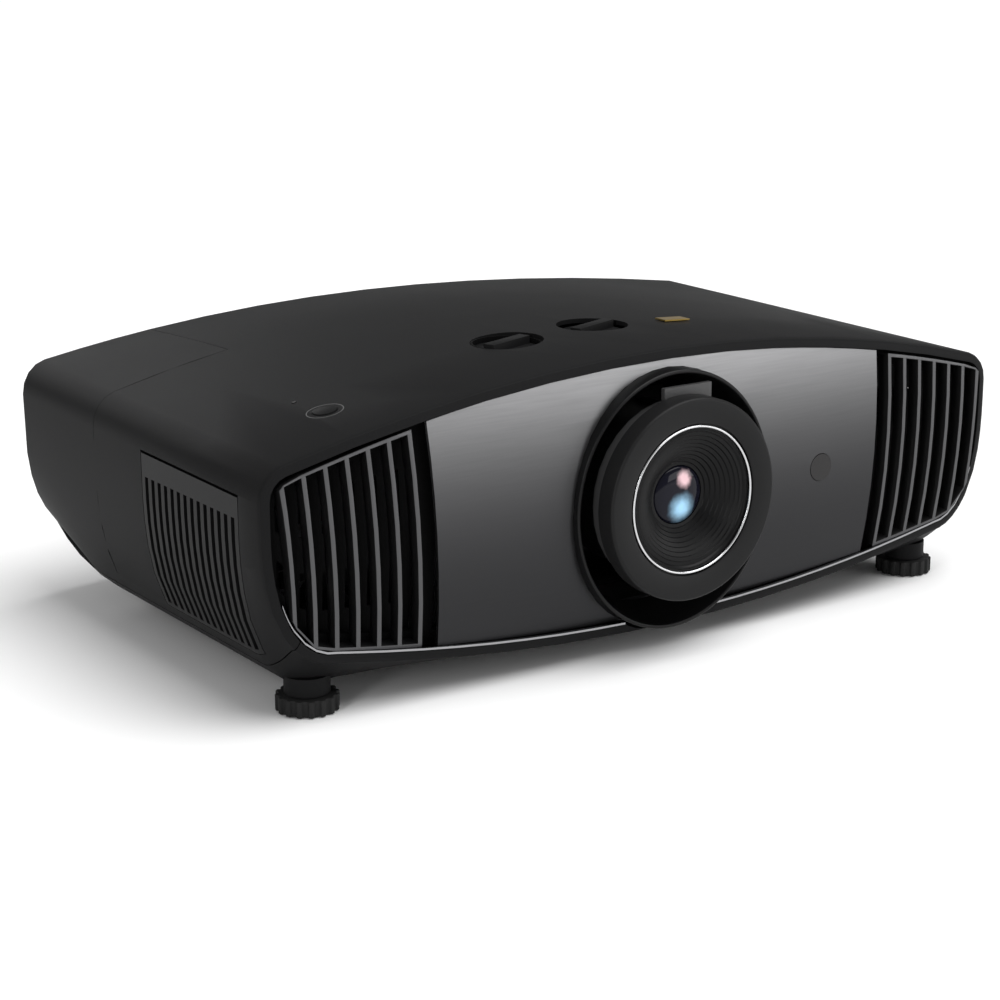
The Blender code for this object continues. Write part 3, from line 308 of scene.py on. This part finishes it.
# ---------------------------------------------------------------------------
# Front fins, inner frame and screens: fins moulded as one grille a side, with satin grey front
# edges and black flanks, over a flat black frame and screens so that the gaps read black.
# ---------------------------------------------------------------------------
fin = moulded("satin_grey_fins", (0.0030, 0.0030, 0.0032), (0.0060, 0.0060, 0.0062), 0.00003, 0.36, 0.5)
facing = fin.add("ShaderNodeSeparateXYZ", {}, {0: fin.add("ShaderNodeNewGeometry", {}, {}, "Normal")}, "Y")
front_facing = -0.75
edge = facing < front_facing
fin.set("Base Color", fin.blend(edge, fin.tone, (0.075, 0.075, 0.078)))
fin.set("Metallic", edge * 0.6)
eased("left_front_fins", fin, "casing", "fin", 0.0003)
eased("right_front_fins", fin, "casing", "fin", 0.0003)
flat_black = moulded("flat_black_inside", (0.0018, 0.0018, 0.0019), (0.0032, 0.0032, 0.0034), 0.00005, 0.75, 0.08)
flat_black.cover("front_frame", "left_front_screen", "right_front_screen", "dial_wells", "intake_fan_frame",
                 "exhaust_fan_frame", "intake_fan_rotor", "exhaust_fan_rotor", "mains_inlet", "menu_key_1",
                 "menu_key_2")


# ---------------------------------------------------------------------------
# Side grilles: upright black slats a little glossier than the case, with a diagonal woven dust
# screen set close behind them.
# ---------------------------------------------------------------------------
slat = moulded("side_slats", (0.0040, 0.0040, 0.0042), (0.0080, 0.0080, 0.0084), 0.00004, 0.42, 0.10)
thread = moulded("dust_screen_wire", (0.0060, 0.0060, 0.0063), (0.0130, 0.0130, 0.0136), 0.00002, 0.40, 0.2)
screen_cell, wire_width, screen_gap, screen_margin = 0.0024, 0.00035, 0.0009, 0.0012
inside, wall_edge = 0.225, 0.0006
for side, node in ((-1.0, "left_side_grille"), (1.0, "right_side_grille")):
    eased(node, slat, "casing", "grille")
    grille_low, grille_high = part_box(node)
    span = max(grille_high.y - grille_low.y, grille_high.z - grille_low.z)
    middle = (grille_low + grille_high) / 2
    cells = int(span * 1.5 / screen_cell)
    screen = bmesh.new()
    bmesh.ops.create_grid(screen, x_segments=cells, y_segments=cells, size=cells * screen_cell / 2)
    bmesh.ops.rotate(screen, verts=screen.verts, matrix=Matrix.Rotation(math.radians(45.0), 3, "Z"))
    bmesh.ops.rotate(screen, verts=screen.verts, matrix=Matrix(((0, 0, 1), (1, 0, 0), (0, 1, 0))))
    bmesh.ops.translate(screen, vec=(0.0, middle.y, middle.z), verts=screen.verts)
    for axis, limit, outward in ((1, grille_low.y + screen_margin, -1.0), (1, grille_high.y - screen_margin, 1.0),
                                 (2, grille_low.z + screen_margin, -1.0), (2, grille_high.z - screen_margin, 1.0)):
        place, normal = Vector((0.0, 0.0, 0.0)), Vector((0.0, 0.0, 0.0))
        place[axis], normal[axis] = limit, outward
        bmesh.ops.bisect_plane(screen, geom=screen.verts[:] + screen.edges[:] + screen.faces[:],
                               plane_co=place, plane_no=normal, clear_outer=True)
    solid = bmesh.new()
    solid.from_mesh(nodes[node].data)
    wall = BVHTree.FromBMesh(solid)
    solid.free()
    for vert in screen.verts:
        inner_face = wall.find_nearest(Vector((side * inside, grille_low.y + wall_edge, vert.co.z)))[0]
        vert.co.x = inner_face.x - side * screen_gap
    bmesh.ops.wireframe(screen, faces=screen.faces[:], thickness=wire_width, use_replace=True,
                        use_boundary=True, use_even_offset=False)
    place_piece(node.replace("grille", "dust_screen"), screen, thread, "casing", "mesh")


# ---------------------------------------------------------------------------
# Lens hood and barrel: an oval hood, moulded in satin black, that the lens moves about in, and
# the turned barrel with its zoom ring and finger tab.
# ---------------------------------------------------------------------------
lens_centre = (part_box("focus_ring")[0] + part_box("focus_ring")[1]) / 2
satin = moulded("satin_black_lens", (0.0035, 0.0035, 0.0037), (0.0070, 0.0070, 0.0073), 0.00002, 0.34, 0.16)
tab_grey = moulded("zoom_ring_grey", (0.0380, 0.0380, 0.0385), (0.0550, 0.0550, 0.0560), 0.00002, 0.34, 0.5)


def turned(name, profile, steps, finish, body, slot, node, turn=28.0, stretch=1.0, centre=lens_centre):
    """A closed ring spun about the lens axis from (radius, y) corners, or a solid where they meet it."""
    mesh = bmesh.new()
    corners = [mesh.verts.new((centre.x + radius, y, centre.z)) for radius, y in profile]
    edges = [mesh.edges.new((corners[i], corners[(i + 1) % len(corners)])) for i in range(len(corners))
             if profile[i][0] > 0.0 or profile[(i + 1) % len(corners)][0] > 0.0]
    bmesh.ops.spin(mesh, geom=corners + edges, cent=centre, axis=(0.0, 1.0, 0.0), angle=math.tau, steps=steps,
                   use_merge=True)
    bmesh.ops.remove_doubles(mesh, verts=mesh.verts, dist=0.000005)
    bmesh.ops.scale(mesh, vec=(1.0, 1.0, stretch), space=Matrix.Translation(-centre), verts=mesh.verts)
    bmesh.ops.recalc_face_normals(mesh, faces=mesh.faces)
    soften(mesh, turn)
    return place_piece(name, mesh, finish, body, slot, node)


def arc(centre, radius, first, last, steps):
    """Points of a quarter round or fillet in the turning plane, by angle in degrees."""
    sweep_angles = [math.radians(first + (last - first) * i / steps) for i in range(steps + 1)]
    return [(centre[0] + radius * math.cos(a), centre[1] + radius * math.sin(a)) for a in sweep_angles]


hood_low, hood_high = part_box("lens_hood")
hood_centre = (hood_low + hood_high) / 2
hood_radius, hood_rim = (hood_high.x - hood_low.x) / 2, 0.0011
hood_profile = (arc((hood_radius - hood_rim, hood_low.y + hood_rim), hood_rim, 0.0, -180.0, 8)
                + [(hood_radius - 0.0060, hood_low.y + 0.020), (hood_radius - 0.0080, hood_high.y),
                   (hood_radius, hood_high.y)])
turned("lens_hood_skin", hood_profile, 144, satin, "casing", "lens_black", "lens_hood", 28.0,
       (hood_high.z - hood_low.z) / (hood_high.x - hood_low.x), hood_centre)
eased("lens_barrel", satin, "lens_carriage", "lens_black", 0.0, 20.0)
eased("zoom_ring", tab_grey, "zoom", "lens_black", 0.0, 20.0)


# ---------------------------------------------------------------------------
# Focus ring: a broad satin ring turned with a rounded shoulder and a shallow step inside it,
# free to turn on the barrel's nose.
# ---------------------------------------------------------------------------
ring_black = moulded("focus_ring_black", (0.0085, 0.0085, 0.0087), (0.0135, 0.0135, 0.0139), 0.00003, 0.42, 0.12)
ring_low, ring_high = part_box("focus_ring")
focus_radius, shoulder = (ring_high.x - ring_low.x) / 2, 0.0018
bore, lip = 0.0463, 0.0417
focus_profile = (arc((focus_radius - shoulder, ring_low.y + shoulder), shoulder, 0.0, -90.0, 6)
                 + [(lip + 0.0012, ring_low.y + 0.0006), (lip, ring_low.y + 0.0012), (lip, ring_low.y + 0.0024),
                    (bore, ring_low.y + 0.0024), (bore, ring_high.y), (focus_radius, ring_high.y)])
turned("focus_ring_skin", focus_profile, 144, ring_black, "focus", "lens_black", "focus_ring")


# ---------------------------------------------------------------------------
# Bright ring and baffle: a polished ring round the lens mouth and, inside it, a funnel turned in
# fine black steps that keep stray light off the picture.
# ---------------------------------------------------------------------------
polished = Finish("polished_ring", (0.62, 0.62, 0.63), 0.16, 1.0)
polished.set("Roughness", polished.noise(400.0, 2.0) * 0.10 + 0.14)
trim_low, trim_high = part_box("lens_trim_ring")
trim_radius, trim_half = (trim_high.x - trim_low.x) / 2, (trim_high.y - trim_low.y) / 2
turned("bright_ring", arc((trim_radius - trim_half, trim_low.y + trim_half), trim_half, 0.0, 337.5, 15), 144,
       polished, "lens_carriage", "silver", "lens_trim_ring", 60.0)

baffle = moulded("baffle_black", (0.0022, 0.0022, 0.0024), (0.0046, 0.0046, 0.0049), 0.00002, 0.36, 0.14)
funnel_low, funnel_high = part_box("lens_baffle")
mouth, throat, seat, tiers = (funnel_high.x - funnel_low.x) / 2, 0.0185, 0.0163, 9
funnel_floor = funnel_low.y + 0.0115
funnel = [(mouth, funnel_high.y), (mouth, funnel_low.y), (mouth - 0.0006, funnel_low.y)]
for tier in range(tiers):
    share = tier / (tiers - 1)
    radius = (mouth - 0.0012) * (1 - share) + throat * share
    depth = funnel_low.y + 0.0004 + (funnel_floor - funnel_low.y - 0.0008) * share ** 1.3
    funnel += [(radius, depth), (radius - 0.0004, depth + 0.0007)]
funnel += [(seat, funnel_floor + 0.0006), (seat, funnel_high.y - 0.002), (seat - 0.0023, funnel_high.y - 0.002),
           (seat - 0.0023, funnel_high.y)]
turned("stepped_baffle", funnel, 128, baffle, "lens_carriage", "lens_black", "lens_baffle")


# ---------------------------------------------------------------------------
# Front glass: a polished meniscus with a broadband coating, its colour carrying a painted rose
# reflection above and a painted blue reflection below, where the inner elements would throw the light back.
# ---------------------------------------------------------------------------
reflection_painted_glass = Finish("coated_glass_painted_reflections", (0.004, 0.005, 0.009), 0.06, 0.0, 0.10, 0.12)
glass_low, glass_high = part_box("front_glass")
glass_radius, glass_edge = (glass_high.x - glass_low.x) / 2, 0.0035
across, along, height = reflection_painted_glass.axes()
# Painted reflections: a rose spot above and a blue spot below the lens centre, painted into the glass's colour.
rose_reflection_place, rose_reflection_core, rose_reflection_edge = (0.0028, lens_centre.z + 0.0088), 0.0030, 0.0078
blue_reflection_place, blue_reflection_core, blue_reflection_edge = (0.0010, lens_centre.z - 0.0070), 0.0020, 0.0118
rose_reflection_distance = reflection_painted_glass.distance(across, height, rose_reflection_place)
blue_reflection_distance = reflection_painted_glass.distance(across, height, blue_reflection_place)
reflection_ripple = reflection_painted_glass.noise(260.0, 2.0) * 0.0030
rose_reflection_share = reflection_painted_glass.add("ShaderNodeMapRange", {"interpolation_type": "SMOOTHSTEP"},
                  {0: rose_reflection_distance + reflection_ripple, 1: rose_reflection_edge, 2: rose_reflection_core})
blue_reflection_share = reflection_painted_glass.add("ShaderNodeMapRange", {"interpolation_type": "SMOOTHSTEP"},
                  {0: blue_reflection_distance + reflection_ripple, 1: blue_reflection_edge, 2: blue_reflection_core})
rose_reflected_colour = reflection_painted_glass.blend(rose_reflection_share, (0.006, 0.006, 0.012), (0.88, 0.60, 0.64))
reflection_painted_glass.set("Base Color", reflection_painted_glass.blend(blue_reflection_share, rose_reflected_colour, (0.42, 0.74, 1.00)))
dome_foot = glass_high.y - glass_edge
dome_height = dome_foot - glass_low.y
dome = [(glass_radius * x, dome_foot + dome_height * y) for x, y in arc((0.0, 0.0), 1.0, 0.0, -90.0, 12)]
turned("front_element", [(0.0, glass_high.y), (glass_radius, glass_high.y)] + dome[:-1] + [(0.0, glass_low.y)],
       96, reflection_painted_glass, "lens_carriage", "glass", "front_glass", 50.0)


# ---------------------------------------------------------------------------
# Small fittings: smoked infrared window and light pipe, and a plain gold plate on the top.
# ---------------------------------------------------------------------------
smoked = Finish("smoked_window", (0.0060, 0.0050, 0.0052), 0.12, 0.0, 0.2, 0.3)
smoked.set("Roughness", smoked.noise(60.0, 2.0) * 0.06 + 0.10)
smoked.cover("front_ir_window", "indicator_light")
gold = Finish("gold_plate", (0.42, 0.29, 0.08), 0.28, 1.0)
gold.set("Roughness", gold.noise(600.0, 2.0, (0.05, 1.0, 1.0)) * 0.16 + 0.24)
eased("gold_badge", gold, "casing", "gold")


# ---------------------------------------------------------------------------
# Feet: ribbed rubber pads on plated steel screws in front, plain rubber discs behind.
# ---------------------------------------------------------------------------
rubber = moulded("black_rubber", (0.0060, 0.0060, 0.0060), (0.0120, 0.0120, 0.0120), 0.00008, 0.72, 0.3)
for side in ("left", "right"):
    eased(side + "_foot_pad", rubber, side + "_foot_pad", "rubber", 0.0006)
    eased(side + "_rear_foot", rubber, "casing", "rubber", 0.0006)


# ---------------------------------------------------------------------------
# Inside: steel shift frame, rods and plates, cast light engine and lamp housing, boards, heat
# sink, brass rack and pinion. Seen only through the openings.
# ---------------------------------------------------------------------------
steel = Finish("rolled_steel", (0.40, 0.40, 0.41), 0.36, 1.0)
steel.set("Roughness", steel.noise(300.0, 2.0, (0.1, 1.0, 1.0)) * 0.18 + 0.28)
steel.cover("left_lift_rod", "right_lift_rod", "lower_cross_rod", "upper_cross_rod", "lift_screw",
            "chassis_plate", "video_sockets", "left_foot_stem", "right_foot_stem")
# The lens mount frame and the lift and cross plates are blackened steel. They are painted near black partly as
# shade for the interior seen through the hood.
blackened_steel_and_shade = Finish("blackened_steel_painted_shade", (0.006, 0.006, 0.006), 0.60, 0.0, 0.0, 0.1)
blackened_steel_and_shade.set("Roughness", blackened_steel_and_shade.noise(300.0, 2.0) * 0.16 + 0.54)
blackened_steel_and_shade.cover("lens_mount_frame", "lift_plate", "cross_plate")
casting = Finish("die_casting", (0.25, 0.25, 0.26), 0.52, 0.8)
casting.bump(casting.noise(500.0, 3.0), 0.0001)
casting.set("Roughness", casting.noise(120.0, 2.0) * 0.2 + 0.42)
casting.cover("optics_housing", "wheel_motor", "lamp_housing", "chip_heatsink")
brass = Finish("cut_brass", (0.62, 0.46, 0.18), 0.30, 1.0)
brass.set("Roughness", brass.noise(500.0, 2.0) * 0.16 + 0.22)
brass.cover("cross_pinion", "shift_rack")
board = Finish("solder_mask", (0.012, 0.080, 0.035), 0.40)
board.set("Base Color", board.blend(board.noise(300.0, 1.0) > 0.55, (0.012, 0.080, 0.035),
                                    (0.020, 0.110, 0.050)))
board.cover("main_board", "power_board")
dichroic = Finish("dichroic_wheel", (0.3, 0.3, 0.3), 0.05, 0.6)
wheel_low, wheel_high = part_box("colour_wheel")
upper_half = dichroic.axes()[2] > (wheel_low.z + wheel_high.z) / 2
dichroic.set("Base Color", dichroic.blend(upper_half, (0.6, 0.08, 0.06), (0.06, 0.12, 0.6)))
dichroic.cover("colour_wheel")
